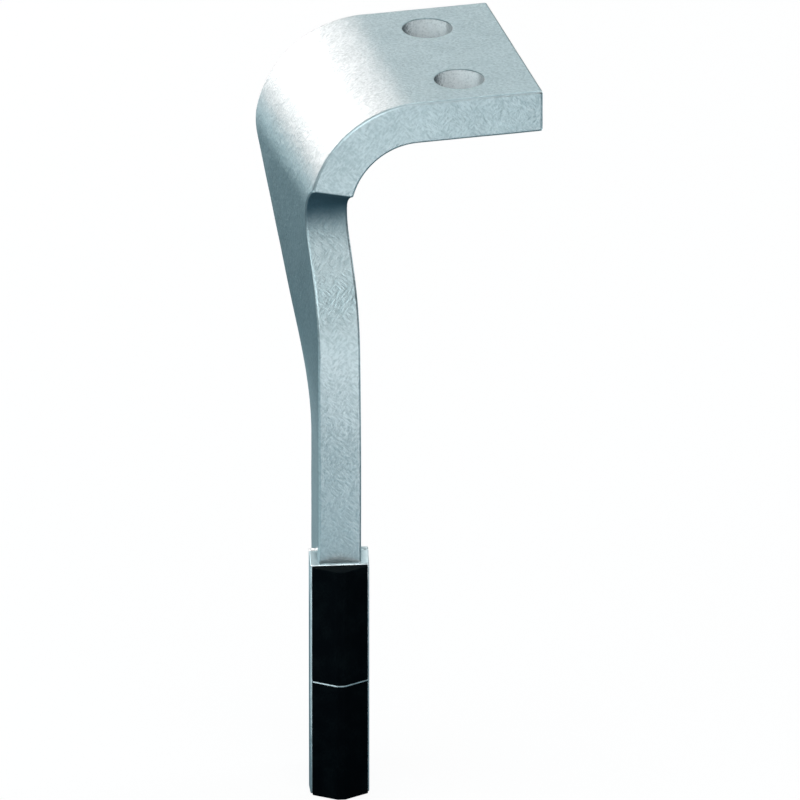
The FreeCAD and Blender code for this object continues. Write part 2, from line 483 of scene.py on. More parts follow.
    def _near_hole(self, place: Wire, reach: float) -> Wire:
        """Mask of the bolt holes' walls and of what lies close to them.

        Args:
            place: Object coordinates.
            reach: How far it goes beyond the walls, in millimetres.

        Returns:
            1 in the holes, 0 elsewhere.
        """
        x, y, z = place.parts()
        beside = abs(y) - self.hole_offset * MM
        away = (x * x + beside * beside).root()
        edge = self.hole_radius + reach
        ring = 1.0 - away.smooth_mm(edge - self.hole_edge, edge)
        return ring * z.smooth_mm(*self.hole_foot)

    def _bore_wall(self, plan: ShaderPlan, along: Wire, grain: Wire) -> Wire:
        """Colour of the holes' walls: pale, with painted shade on the side of the bend and a
        fainter painted shade at the far end.

        Args:
            plan: The material's tree.
            along: Place along the flange.
            grain: Fine noise.

        Returns:
            The colour.
        """
        # Painted shade: dark towards the bend, pale past it, and dimmed at the far end.
        ragged = along + self.bore_ragged * MM * (grain - NOISE_MIDDLE)
        painted_far_shade = 1.0 - self.painted_far_shade_share * along.smooth_mm(*self.painted_far_shade_span)
        painted_lit_side = ragged.smooth_mm(*self.painted_shade_span) * painted_far_shade
        return plan.mix(painted_lit_side * (self.bore_least + grain), self.painted_bore_shade, self.bored)

    def _painted_shoulder_shade(self, plan: ShaderPlan, across: Wire, up: Wire, cloud: Wire) -> Wire:
        """Mask of the painted shade in the recess under the shoulder, on the leading side alone.

        Args:
            plan: The material's tree.
            across: Place across the flange.
            up: Height on the tine.
            cloud: Slow noise that makes its end uneven.

        Returns:
            The mask, strongest right under the shoulder.
        """
        facing = plan.wire("ShaderNodeNewGeometry", None, None, "Normal").parts()[1]
        leading = 1.0 - facing.smooth(*self.hollow_facing)
        leading = leading * (1.0 - across.smooth_mm(*self.hollow_rear))
        behind = across.smooth_mm(*self.hollow_front)
        wavering = up + self.hollow_waver * MM * (cloud - NOISE_MIDDLE)
        return leading * behind * wavering.smooth_mm(*self.hollow_fade)


@dataclass(frozen=True)
class Carbide(Finish):
    """Hard tile: nearly black, with a fine sintered grain."""

    speck: Colour = (0.003, 0.005, 0.006)
    speck_edge: Span = (0.20, 0.42)
    gloss: float = 0.012
    grain_size: float = 0.6
    cloud_size: float = 9.0
    cloud_matt: float = 0.06
    grain_matt: float = 0.08
    relief_depth: float = 0.03
    relief_strength: float = 0.3

    def dress(self, plan: ShaderPlan) -> Dict[str, Value]:
        """Builds what feeds the shader.

        Args:
            plan: The material's tree.

        Returns:
            Values and wires by the shader's socket names.
        """
        place = plan.place()
        grain = plan.noise(place, self.grain_size, 3.0, 0.6)
        cloud = plan.noise(place, self.cloud_size, 2.0)
        rough = self.roughness + self.cloud_matt * (cloud - NOISE_MIDDLE)
        return {
            "Base Color": plan.mix((grain * cloud).smooth(*self.speck_edge),
                                   self.colour, self.speck),
            "Roughness": rough + self.grain_matt * (grain - NOISE_MIDDLE),
            "Specular IOR Level": self.gloss,
            "Normal": plan.bump(grain, self.relief_depth, self.relief_strength),
        }


@dataclass(frozen=True)
class SilverBraze(Finish):
    """Brazing alloy: pale, smooth where it flowed and duller in patches."""

    dull: Colour = (0.66, 0.70, 0.71)
    dull_edge: Span = (0.42, 0.62)
    flow_way: Point = (0.0, -90.0, 0.0)
    flow_stretch: float = 3.0
    flow_size: float = 2.4
    flow_matt: float = 0.25
    grain_size: float = 0.5
    height_weights: Shares = (0.6, 0.4)
    relief_depth: float = 0.08
    relief_strength: float = 0.4

    def dress(self, plan: ShaderPlan) -> Dict[str, Value]:
        """Builds what feeds the shader.

        Args:
            plan: The material's tree.

        Returns:
            Values and wires by the shader's socket names.
        """
        flow = plan.noise(plan.place(self.flow_way, self.flow_stretch), self.flow_size)
        grain = plan.noise(plan.place(), self.grain_size, 2.0)
        height = weighted(self.height_weights, (flow, grain))
        return {
            "Base Color": plan.mix(flow.smooth(*self.dull_edge), self.colour, self.dull),
            "Roughness": self.roughness + self.flow_matt * (flow - NOISE_MIDDLE),
            "Normal": plan.bump(height, self.relief_depth, self.relief_strength),
        }


# Shared mesh work


def mesh_object(name: str, points: Sequence[Point], faces: Sequence[Sequence[int]],
                edges: Sequence[Sequence[int]] = ()) -> bpy.types.Object:
    """Makes a mesh object from millimetres.

    Args:
        name: Name of the object.
        points: Its corners.
        faces: Corner numbers of each face.
        edges: Corner numbers of loose edges.

    Returns:
        The object, linked to the scene.
    """
    mesh = bpy.data.meshes.new(name)
    mesh.from_pydata([tuple(value * MM for value in point) for point in points], edges, faces)
    mesh.update()
    return placed(name, mesh)


def placed(name: str, mesh: bpy.types.Mesh) -> bpy.types.Object:
    """Makes an object of a mesh, at the origin and linked to the scene."""
    made = bpy.data.objects.new(name, mesh)
    bpy.context.scene.collection.objects.link(made)
    return made


def closed_object(name: str, points: Sequence[Point],
                  faces: Sequence[Sequence[int]]) -> bpy.types.Object:
    """Makes an object of closed shells, with its faces turned outwards.

    Args:
        name: Name of the object.
        points: Its corners in millimetres.
        faces: Corner numbers of each face.

    Returns:
        The object, linked to the scene.
    """
    made = mesh_object(name, points, faces)
    shell = bmesh.new()
    shell.from_mesh(made.data)
    bmesh.ops.recalc_face_normals(shell, faces=shell.faces)
    shell.to_mesh(made.data)
    shell.free()
    return made


def prism(name: str, near: Sequence[Point], far: Sequence[Point]) -> bpy.types.Object:
    """Makes the closed solid between two outlines with as many corners.

    Args:
        name: Name of the object.
        near: Corners of the first outline in millimetres.
        far: Corners of the second.

    Returns:
        The object.
    """
    count = len(near)
    faces = [list(range(count)), [count + index for index in reversed(range(count))]]
    for index in range(count):
        after = (index + 1) % count
        faces.append([index, index + count, after + count, after])
    return closed_object(name, [*near, *far], faces)


def plain_mesh(source: bpy.types.Object, name: str) -> bpy.types.Object:
    """Replaces an object and its modifiers by their plain result.

    Args:
        source: Object with live modifiers.
        name: Name of the result.

    Returns:
        The new object at the origin.
    """
    depsgraph = bpy.context.evaluated_depsgraph_get()
    mesh = bpy.data.meshes.new_from_object(source.evaluated_get(depsgraph),
                                           depsgraph=depsgraph)
    mesh.name = name
    old_mesh = source.data
    bpy.data.objects.remove(source)
    if old_mesh.users == 0:
        bpy.data.meshes.remove(old_mesh)
    return placed(name, mesh)


def add_bevel(target: bpy.types.Object, width: float) -> None:
    """Rounds an object's sharp edges, by a width in millimetres, with a live modifier."""
    bevel = target.modifiers.new("Rounding", "BEVEL")
    bevel.width = width * MM
    bevel.segments = BEVEL_SEGMENTS
    bevel.limit_method = "ANGLE"
    bevel.angle_limit = math.radians(SHARP_ANGLE)
    bevel.harden_normals = False


def even_shading(target: bpy.types.Object) -> None:
    """Shades flat faces flat beside their roundings, with a live modifier."""
    target.modifiers.new("Even shading", "WEIGHTED_NORMAL").keep_sharp = True


def register(piece: bpy.types.Object, slot: Slot, *nodes: str) -> None:
    """Puts a piece on the tine's body, hides the CAD nodes that it replaces and logs its
    triangles.

    Args:
        piece: Finished piece at the origin.
        slot: Not used.
        nodes: CAD nodes that it replaces.
    """
    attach(piece, BODY)
    if nodes:
        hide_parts(*nodes)
    piece.data.calc_loop_triangles()
    LOG.info("%s: %d triangles", piece.name, len(piece.data.loop_triangles))


def quarter_turn(parts: int) -> List[float]:
    """Angles of a quarter turn that is cut in equal parts, both ends included."""
    return [math.pi / 2 * index / parts for index in range(parts + 1)]


def evenly(start: float, end: float, step: float) -> List[float]:
    """Evenly spaced values no further apart than a step, both ends included."""
    count = max(math.ceil((end - start) / step), 1)
    return [start + (end - start) * index / count for index in range(count + 1)]


# The rule of the strip


@dataclass(frozen=True)
class StripRule:
    """Sizes of the bent, shouldered, tapered and twisted strip, and the rule of its two edges.

    A run is a length along the outer face, from the end of the bend: below 0 on the bend and
    the flange, above 0 on the blade.
    """

    thickness: float = 18.0
    width: float = 97.0
    free_end: float = 30.4
    blade_to_holes: float = 68.6
    inner_radius: float = 28.0
    shoulder_angle: float = 76.5
    shoulder_corner: float = 4.0
    notch_radius: float = 15.3
    notch_depth: float = 7.6
    sweep_angle: float = 36.0
    sweep_radius: float = 62.0
    tip_lead: float = 15.0
    taper_start: float = 78.0
    taper_angle: float = 50.3
    taper_top_radius: float = 15.0
    taper_foot_radius: float = 72.0
    blade_depth: float = 35.0
    twist: float = 9.0
    twist_start: float = 88.0
    twist_end: float = 151.0
    height: float = 300.0
    corner_blend: float = 0.5

    @property
    def outer_radius(self) -> float:
        """Radius of the bend's outer face."""
        return self.inner_radius + self.thickness

    @property
    def middle_x(self) -> float:
        """X of the blade's middle plane."""
        return self.thickness / 2 - self.blade_to_holes

    @property
    def centre_x(self) -> float:
        """X of the bend's centre."""
        return self.outer_radius - self.blade_to_holes

    @property
    def bend_length(self) -> float:
        """Run of the bend along its outer face."""
        return self.outer_radius * math.pi / 2

    @property
    def flange_length(self) -> float:
        """Run of the flat flange."""
        return self.free_end - self.centre_x

    @property
    def tip_front(self) -> float:
        """Y of the tip's leading face."""
        return -self.width / 2 - self.tip_lead

    @property
    def shoulder_run(self) -> float:
        """Run at the shoulder, from the end of the bend."""
        return -self.outer_radius * math.radians(90 - self.shoulder_angle)

    @staticmethod
    def turn_depth(radius: float, angle: float) -> float:
        """How far an arc runs sideways while it turns through the angle."""
        return radius * (1 - math.cos(math.radians(angle)))

    @staticmethod
    def turn_run(radius: float, angle: float) -> float:
        """How far an arc runs along the strip while it turns through the angle."""
        return radius * math.sin(math.radians(angle))

    @staticmethod
    def half_chord(radius: float, away: float) -> float:
        """Half of a circle's chord that lies so far from its centre."""
        return math.sqrt(max(radius ** 2 - away ** 2, 0))

    def flank(self, run: float, start: float, end: float, angle: float, radii: Span) -> float:
        """Y of an edge that turns off by an arc, runs straight and turns back by an arc.

        Args:
            run: Run from the start of the first arc.
            start: Y before the flank.
            end: Y after it.
            angle: Angle of its straight.
            radii: Radius of each arc.

        Returns:
            The place of the edge.
        """
        first, last = radii
        first_end = self.turn_run(first, angle)
        if run <= first_end:
            return start - first + self.half_chord(first, run)
        top = start - self.turn_depth(first, angle)
        slope = math.tan(math.radians(angle))
        straight_end = first_end + (top - end - self.turn_depth(last, angle)) / slope
        if run <= straight_end:
            return top - slope * (run - first_end)
        left = straight_end + self.turn_run(last, angle) - run
        return end + last - self.half_chord(last, left) if left >= 0 else end

    def notch_middle(self) -> float:
        """Run at the deepest place of the notch."""
        start = math.degrees(math.acos(1 - self.notch_depth / self.notch_radius))
        return self.shoulder_run + self.turn_run(self.notch_radius, start)

    def front(self, run: float) -> float:
        """Y of the leading edge, with its shoulder corner a little rounded.

        Args:
            run: Run along the outer face.

        Returns:
            The place of the edge.
        """
        if run < self.shoulder_run - self.shoulder_corner:
            return -self.width / 2
        middle = self.notch_middle()
        radii = (self.notch_radius, self.sweep_radius)
        flank = self.flank(run - middle, self.notch_depth - self.width / 2, self.tip_front,
                           self.sweep_angle, radii)
        if run > middle:
            return flank
        gap = (flank + self.width / 2) / self.corner_blend
        return -self.width / 2 + self.corner_blend * math.log1p(math.exp(gap))

    def rear(self, run: float) -> float:
        """Y of the trailing edge before the twist.

        Args:
            run: Run along the outer face.

        Returns:
            The place of the edge.
        """
        run += self.outer_radius * math.radians(90 - self.taper_start)
        if run <= 0:
            return self.width / 2
        radii = (self.taper_top_radius, self.taper_foot_radius)
        return self.flank(run, self.width / 2, self.tip_front + self.blade_depth,
                          self.taper_angle, radii)

    def twist_at(self, run: float) -> float:
        """Twist at a run, easing in and out."""
        share = run + self.outer_radius - self.twist_start
        share = min(max(share / (self.twist_end - self.twist_start), 0.0), 1.0)
        return self.twist * share ** 2 * (3 - 2 * share)

    def middle(self, run: float) -> Tuple[Point, Point]:
        """Middle of the stock at a run, and the way out of its outer face.

        Args:
            run: Run along the outer face.

        Returns:
            The place at Y 0 and the direction.
        """
        if run > 0:
            return (self.middle_x, 0.0, -self.outer_radius - run), (-1.0, 0.0, 0.0)
        angle = max(math.pi / 2 + run / self.outer_radius, 0.0)
        out = (-math.sin(angle), 0.0, math.cos(angle))
        reach = self.outer_radius - self.thickness / 2
        beyond = max(-run - self.bend_length, 0.0)
        x = self.centre_x + reach * out[0] + beyond
        return (x, 0.0, -self.outer_radius + reach * out[2]), out

    def tip_matrix(self) -> Matrix:
        """Matrix in metres from the tip's own frame: X across, Y back from its leading face."""
        shift = Matrix.Translation(Vector((self.middle_x, self.tip_front, 0.0)) * MM)
        return shift @ Matrix.Rotation(-math.radians(self.twist), 4, "Z")


@dataclass(frozen=True)
class Station:
    """One section of the strip: its run, the rounding of its corners and its fill.

    The fill is 1 for a ring of full width, and 0 for one drawn together to a line.
    """

    run: float
    rounding: float
    fill: float = 1.0


@dataclass
class Forging:
    """The whole forging, skinned over stations, with its bolt holes and tile seat."""

    rule: StripRule = field(default_factory=StripRule)
    edge_radius: float = 1.0
    flange_step: float = 2.0
    bend_step: float = 0.9
    blade_step: float = 1.5
    corner_step: float = 0.3
    corner_zone: Span = (-3.0, 4.0)
    wide_parts: int = 44
    narrow_parts: int = 8
    corner_parts: int = 4
    support: float = 0.35
    usual_depth: float = 60.0
    hole_radius: float = 10.5
    hole_spacing: float = 55.0
    hole_rim: float = 0.15
    hole_segments: int = 96
    cutter_reach: float = 4.0
    seat_width: float = 24.5
    seat_depth: float = 7.6
    seat_ramp: float = 4.7
    seat_round: float = 0.35
    tiles_top: float = -197.1
    surface_depth: float = 0.07
    surface_lump: float = 14.0
    surface_edge: Span = (0.25, 0.75)
    wear_angles: Span = (0.05, 0.5)
    weld: float = 0.002
    seed: int = 11

    def stations(self) -> List[Station]:
        """Lists the sections from the flange's free end to the tip.

        Returns:
            The stations in order.
        """
        rule, radius = self.rule, self.edge_radius
        start = -rule.bend_length - rule.flange_length
        end = rule.height - rule.outer_radius
        before, after = [rule.shoulder_run + shift for shift in self.corner_zone]
        runs = evenly(start + radius + self.support, -rule.bend_length, self.flange_step)
        runs += evenly(-rule.bend_length, before, self.bend_step)[1:]
        runs += evenly(before, after, self.corner_step)[1:]
        runs += evenly(after, 0, self.bend_step)[1:]
        runs += evenly(0, end - radius - self.support, self.blade_step)[1:]
        first = [Station(start, 0.0, 0.0)]
        first += [Station(start + radius * (1 - math.sin(angle)), radius * math.cos(angle))
                  for angle in reversed(quarter_turn(self.corner_parts))]
        last = [Station(end - (place.run - start), place.rounding, place.fill)
                for place in reversed(first)]
        return first + [Station(run, radius) for run in runs] + last

    def spine(self) -> Tuple[bpy.types.Object, int]:
        """Makes the row of stations with what the tree reads from each.

        Returns:
            The object and its number of stations.
        """
        places, rule = self.stations(), self.rule
        middles = [rule.middle(place.run) for place in places]
        made = mesh_object("spine", [middle for middle, _ in middles], [],
                           [(index, index + 1) for index in range(len(places) - 1)])
        outward = made.data.attributes.new("outward", "FLOAT_VECTOR", "POINT")
        outward.data.foreach_set("vector", [value for _, out in middles for value in out])
        columns: Dict[str, Callable[[Station], float]] = {
            "front": lambda place: rule.front(place.run) * MM,
            "rear": lambda place: rule.rear(place.run) * MM,
            "rounding": lambda place: place.rounding * MM,
            "twist": lambda place: math.radians(rule.twist_at(place.run)),
            "fill": lambda place: place.fill,
        }
        for name, reader in columns.items():
            column = made.data.attributes.new(name, "FLOAT", "POINT")
            column.data.foreach_set("value", [reader(place) for place in places])
        return made, len(places)

    def ring(self) -> Tuple[bpy.types.Object, int]:
        """Makes the section's ring: shares across the stock and the width, and corner arcs.

        Returns:
            The object and its number of points.
        """
        wide = self._shares(self.wide_parts, self.support / self.usual_depth)
        narrow = self._shares(self.narrow_parts, self.support / self.rule.thickness)
        sides = [
            [(1.0, share) for share in wide],
            [(1.0 - 2 * share, 1.0) for share in narrow],
            [(-1.0, 1.0 - share) for share in wide],
            [(2 * share - 1.0, 0.0) for share in narrow],
        ]
        flats: List[Span] = []
        arcs: List[Span] = []
        for quarter, points in enumerate(sides):
            heading = math.radians(90 * quarter)
            for part in range(self.corner_parts):
                turned = heading + math.pi / 2 * part / self.corner_parts
                here = points if part == 0 else points[-1:]
                flats += here
                arcs += [(math.cos(turned), math.sin(turned))] * len(here)
        flats.append(flats[0])
        arcs.append(arcs[0])
        made = mesh_object("ring", [(out / MM, side / MM, 0.0) for out, side in flats], [])
        column = made.data.attributes.new("arc", "FLOAT_VECTOR", "POINT")
        column.data.foreach_set("vector", [value for arc in arcs for value in (*arc, 0.0)])
        return made, len(flats)

    @staticmethod
    def _shares(parts: int, support: float) -> List[float]:
        """Shares from 0 to 1 with one extra line close to each end."""
        inner = [index / parts for index in range(1, parts)]
        return [0.0, support] + inner + [1.0 - support, 1.0]

    def holes(self) -> bpy.types.Object:
        """Makes the two cutters of the bolt holes, flared at both rims.

        Returns:
            One object with both cutters.
        """
        rim, bottom = self.hole_rim, -self.rule.thickness
        wide = self.hole_radius + rim
        flare = [(wide - rim * math.cos(angle), rim - rim * math.sin(angle))
                 for angle in quarter_turn(self.corner_parts)]
        profile = [(wide, self.cutter_reach)]
        profile += [(radius, -depth) for radius, depth in reversed(flare)]
        profile += [(radius, bottom + depth) for radius, depth in flare]
        profile.append((wide, bottom - self.cutter_reach))
        points: List[Point] = []
        faces: List[List[int]] = []
        for side in (-1, 1):
            self._lathe(points, faces, profile, side * self.hole_spacing / 2)
        return closed_object("hole_cutters", points, faces)

    def _lathe(self, points: List[Point], faces: List[List[int]],
               profile: Sequence[Span], y: float) -> None:
        """Adds a closed turned shape.

        Args:
            points: List that receives the corners.
            faces: List that receives the faces.
            profile: Radius and height of each ring, from the top down.
            y: Place of the axis.
        """
        count, base = self.hole_segments, len(points)
        last = base + (len(profile) - 1) * count
        for radius, height in profile:
            for index in range(count):
                angle = 2 * math.pi * index / count
                points.append((radius * math.cos(angle), y + radius * math.sin(angle), height))
        for first in range(base, last, count):
            for index in range(count):
                here, after = first + index, first + (index + 1) % count
                faces.append([here, after, after + count, here + count])
        faces.append([base + index for index in range(count)])
        faces.append([last + index for index in reversed(range(count))])

    def seat(self) -> bpy.types.Object:
        """Makes the wider head behind the tiles.

        Returns:
            The seat in place, with rounded edges.
        """
        half, bottom = self.seat_width / 2, -self.rule.height
        top = self.tiles_top + self.seat_ramp
        outline = [(0.0, bottom), (0.0, self.tiles_top), (self.seat_ramp, top),
                   (self.seat_depth, top), (self.seat_depth, bottom)]
        near, far = [[(x, y, z) for y, z in outline] for x in (-half, half)]
        made = prism("tile_seat", near, far)
        add_bevel(made, self.seat_round)
        made = plain_mesh(made, "tile_seat")
        made.data.transform(self.rule.tip_matrix())
        return made

    def plan(self) -> GeometryPlan:
        """Builds the Geometry Nodes tree that skins the stations, then cuts and joins.

        Returns:
            The tree.
        """
        plan = GeometryPlan("Forged strip", {
            "Stations": "Geometry", "Ring": "Object", "Holes": "Object", "Seat": "Object",
            "Rows": "Int", "Ring Points": "Int", "Stock": "Float", "Edge Radius": "Float",
            "Surface Depth": "Float", "Lumps": "Float", "Seed": "Float", "Finish": "Material"})
        holes, seat = [
            plan.wire("GeometryNodeObjectInfo", {"transform_space": "RELATIVE"},
                      {"Object": plan.inputs[name]}, "Geometry") for name in ("Holes", "Seat")]
        cut = plan.wire("GeometryNodeMeshBoolean",
                        {"operation": "DIFFERENCE", "solver": "EXACT"},
                        {"Mesh 1": self._skin(plan), "Mesh 2": holes}, "Mesh")
        join = plan.node("GeometryNodeMeshBoolean", {"operation": "UNION", "solver": "EXACT"})
        for shell in (cut, seat):
            plan.tree.links.new(shell.socket, join.inputs["Mesh 2"])
        angle = plan.wire("GeometryNodeInputMeshEdgeAngle", None, None, "Signed Angle")
        spread = plan.wire("GeometryNodeBlurAttribute", {"data_type": "FLOAT"},
                           {"Value": angle.smooth(*self.wear_angles), "Iterations": 1})
        plan.close(plan.wire(
            "GeometryNodeStoreNamedAttribute", {"data_type": "FLOAT", "domain": "POINT"},
            {"Geometry": Wire(plan, join.outputs["Mesh"]), "Name": EDGE_WEAR_AND_HIGHLIGHT, "Value": spread}))
        return plan

    def _skin(self, plan: GeometryPlan) -> Wire:
        """Adds the nodes that bend a grid into the strip's closed skin.

        Args:
            plan: The tree.

        Returns:
            The welded skin.
        """
        inputs = plan.inputs
        ring = plan.wire("GeometryNodeObjectInfo", None, {"Object": inputs["Ring"]}, "Geometry")
        sizes = {"Vertices X": inputs["Rows"], "Vertices Y": inputs["Ring Points"]}
        grid = plan.wire("GeometryNodeMeshGrid", None, sizes, "Mesh")
        grid = plan.wire("GeometryNodeFlipFaces", None, {"Mesh": grid})
        index = plan.wire("GeometryNodeInputIndex")
        row = ((index + 0.5) / inputs["Ring Points"]).floor()
        column = index - row * inputs["Ring Points"]
        place = plan.wire("GeometryNodeInputPosition")

        def read(source: Wire, at: Wire, name: str = "", kind: str = "FLOAT_VECTOR") -> Wire:
            """A named attribute of another geometry at a point, or the point's place."""
            value = place if not name else plan.wire(
                "GeometryNodeInputNamedAttribute", {"data_type": kind}, {"Name": name})
            return plan.wire("GeometryNodeSampleIndex", {"data_type": kind, "domain": "POINT"},
                             {"Geometry": source, "Value": value, "Index": at})

        middle = read(inputs["Stations"], row)
        outward = read(inputs["Stations"], row, "outward")
        front, rear, rounding, twist, fill = [
            read(inputs["Stations"], row, name, "FLOAT")
            for name in ("front", "rear", "rounding", "twist", "fill")]
        across, along, _ = read(ring, column).parts()
        arc_out, arc_side, _ = read(ring, column, "arc").parts()
        radius = inputs["Edge Radius"]
        out = (across * (inputs["Stock"] * 0.5 - radius) + arc_out * rounding) * fill
        side = front + radius + along * (rear - front - 2 * radius) + arc_side * rounding
        sideways, to_front = [plan.wire("ShaderNodeCombineXYZ", None, {"Y": y})
                              for y in (side, front)]
        flat_place = plan.vector("ADD", plan.vector("ADD", middle, sideways),
                                 plan.scaled(outward, out))
        turned = plan.wire("ShaderNodeVectorRotate", {"rotation_type": "Z_AXIS"},
                           {"Vector": flat_place, "Angle": twist * -1.0,
                            "Center": plan.vector("ADD", middle, to_front)})
        bent = plan.wire("GeometryNodeSetPosition", None,
                         {"Geometry": grid, "Position": turned})
        welded = plan.wire("GeometryNodeMergeByDistance", None,
                           {"Geometry": bent, "Distance": self.weld * MM})
        lumps = plan.lumps(place, inputs["Seed"], inputs["Lumps"], 2.0)
        sink = lumps.smooth(*self.surface_edge) * inputs["Surface Depth"] * -1.0
        return plan.swollen(welded, sink)

    def build(self, finish: bpy.types.Material) -> bpy.types.Object:
        """Skins, cuts and joins the forging.

        Args:
            finish: Its material.

        Returns:
            The finished piece.
        """
        spine, rows = self.spine()
        ring, ring_points = self.ring()
        holes, seat = self.holes(), self.seat()
        self.plan().run_on(spine, {
            "Ring": ring, "Holes": holes, "Seat": seat, "Rows": rows,
            "Ring Points": ring_points, "Stock": self.rule.thickness * MM,
            "Edge Radius": self.edge_radius * MM, "Surface Depth": self.surface_depth * MM,
            "Lumps": 1 / (self.surface_lump * MM), "Seed": float(self.seed),
            "Finish": finish})
        even_shading(spine)
        piece = plain_mesh(spine, "tine_forging")
        for helper in (ring, holes, seat):
            bpy.data.objects.remove(helper)
        register(piece, Slot.STEEL, "tine_body")
        return piece


@dataclass
class Tiles:
    """The two roofed hard tiles, one above the other."""

    rule: StripRule = field(default_factory=StripRule)
    width: float = 23.0
    height: float = 51.2
    edge_thickness: float = 2.2
    ridge_rise: float = 5.7
    ridge_flat: float = 3.3
    braze: float = 0.25
    joint: float = 0.5
    rounding: float = 0.3

    def tile(self, name: str, bottom: float, node: str,
             finish: bpy.types.Material) -> bpy.types.Object:
        """Makes one tile.

        Args:
            name: Name of the piece.
            bottom: Z of its lower end.
            node: CAD node that it stands for.
            finish: Its material.

        Returns:
            The tile in place.
        """
        half, flat = self.width / 2, self.ridge_flat / 2
        back = -self.braze
        edge = back - self.edge_thickness
        ridge = edge - self.ridge_rise
        outline = [(-half, back), (-half, edge), (-flat, ridge),
                   (flat, ridge), (half, edge), (half, back)]
        near, far = [[(x, y, z) for x, y in outline] for z in (bottom, bottom + self.height)]
        made = prism(name, near, far)
        add_bevel(made, self.rounding)
        even_shading(made)
        for face in made.data.polygons:
            face.use_smooth = True
        piece = plain_mesh(made, name)
        piece.data.transform(self.rule.tip_matrix())
        piece.data.materials.append(finish)
        register(piece, Slot.CARBIDE, node)
        return piece

    def build(self, finish: bpy.types.Material) -> List[bpy.types.Object]:
        """Makes both tiles, the lower one first."""
        low = -self.rule.height
        high = low + self.height + self.joint
        return [self.tile("lower_hard_tile", low, "lower_tile", finish),
                self.tile("upper_hard_tile", high, "upper_tile", finish)]


@dataclass
class BrazeBeads:
    """Beads of braze along the tiles' two sides and over the upper tile's top."""

    tiles: Tiles
    radius: float = 0.55
    outward: float = 0.1
    sunk: float = 0.05
    waviness: float = 0.35
    wave: float = 5.0
    wave_middle: float = 0.62
    step: float = 0.8
    sides: int = 10
    seed: float = 4.0

    def plan(self) -> GeometryPlan:
        """Builds the tree that runs a bead along a path.

        Returns:
            The tree.
        """
        plan = GeometryPlan("Braze bead", {
            "Path": "Geometry", "Radius": "Float", "Waviness": "Float", "Wave": "Float",
            "Step": "Float", "Sides": "Int", "Seed": "Float", "Finish": "Material"})
        inputs = plan.inputs
        path = plan.wire("GeometryNodeMeshToCurve", None, {"Mesh": inputs["Path"]})
        fine = plan.wire("GeometryNodeResampleCurve", {"mode": "LENGTH"},
                         {"Curve": path, "Length": inputs["Step"]})
        circle = plan.wire("GeometryNodeCurvePrimitiveCircle", None,
                           {"Resolution": inputs["Sides"], "Radius": inputs["Radius"]})
        bead = plan.wire("GeometryNodeCurveToMesh", None,
                         {"Curve": fine, "Profile Curve": circle, "Fill Caps": True})
        place = plan.wire("GeometryNodeInputPosition")
        wave = plan.lumps(place, inputs["Seed"], inputs["Wave"], 1.0)
        swell = (wave - self.wave_middle) * inputs["Waviness"] * inputs["Radius"] * 2.0
        plan.close(plan.swollen(bead, swell))
        return plan

    def build(self, finish: bpy.types.Material) -> bpy.types.Object:
        """Makes the beads as one piece.

        Args:
            finish: Their material.

        Returns:
            The finished piece.
        """
        tiles = self.tiles
        half, back = tiles.width / 2 + self.outward, -tiles.braze - self.sunk
        bottom = -tiles.rule.height + self.radius + self.outward
        top = -tiles.rule.height + 2 * tiles.height + tiles.joint + self.outward
        points = [(-half, back, bottom), (-half, back, top),
                  (half, back, top), (half, back, bottom)]
        path = mesh_object("bead_path", points, [], [(0, 1), (1, 2), (2, 3)])
        self.plan().run_on(path, {
            "Radius": self.radius * MM, "Waviness": self.waviness, "Wave": 1 / (self.wave * MM),
            "Step": self.step * MM, "Sides": self.sides, "Seed": self.seed, "Finish": finish})
        piece = plain_mesh(path, "braze_beads")
        piece.data.transform(tiles.rule.tip_matrix())
        register(piece, Slot.BRAZE)
        return piece


# Stage, lamps and camera


WARM: Colour = (1.0, 0.88, 0.85)
PALE_COOL: Colour = (0.84, 0.97, 1.0)
COOL: Colour = (0.78, 0.96, 1.0)
BLUE: Colour = (0.58, 0.87, 1.0)


@dataclass(frozen=True)
class Lamp:
    """One soft round lamp: its place, width and watts. It faces the tine, or lies face up."""

    name: str
    place: Point
    width: float
    power: float
    tint: Colour = (1.0, 1.0, 1.0)
    face_up: bool = False

    def build(self, aim: Vector) -> bpy.types.Object:
        """Hangs the lamp.

        Args:
            aim: Place in metres that it points at.

        Returns:
            The lamp.
        """
        data = bpy.data.lights.new(self.name, "AREA")
        data.shape = "DISK"
        data.size = self.width * MM
        data.energy = self.power
        data.color = self.tint
        lamp = bpy.data.objects.new(self.name, data)
        lamp.location = Vector(self.place) * MM
        lamp.rotation_mode = "QUATERNION"
        facing = Vector((0.0, 0.0, -1.0)) if self.face_up else lamp.location - aim
        lamp.rotation_quaternion = facing.to_track_quat("Z", "Y")
        lamp.visible_camera = False
        bpy.context.scene.collection.objects.link(lamp)
        return lamp


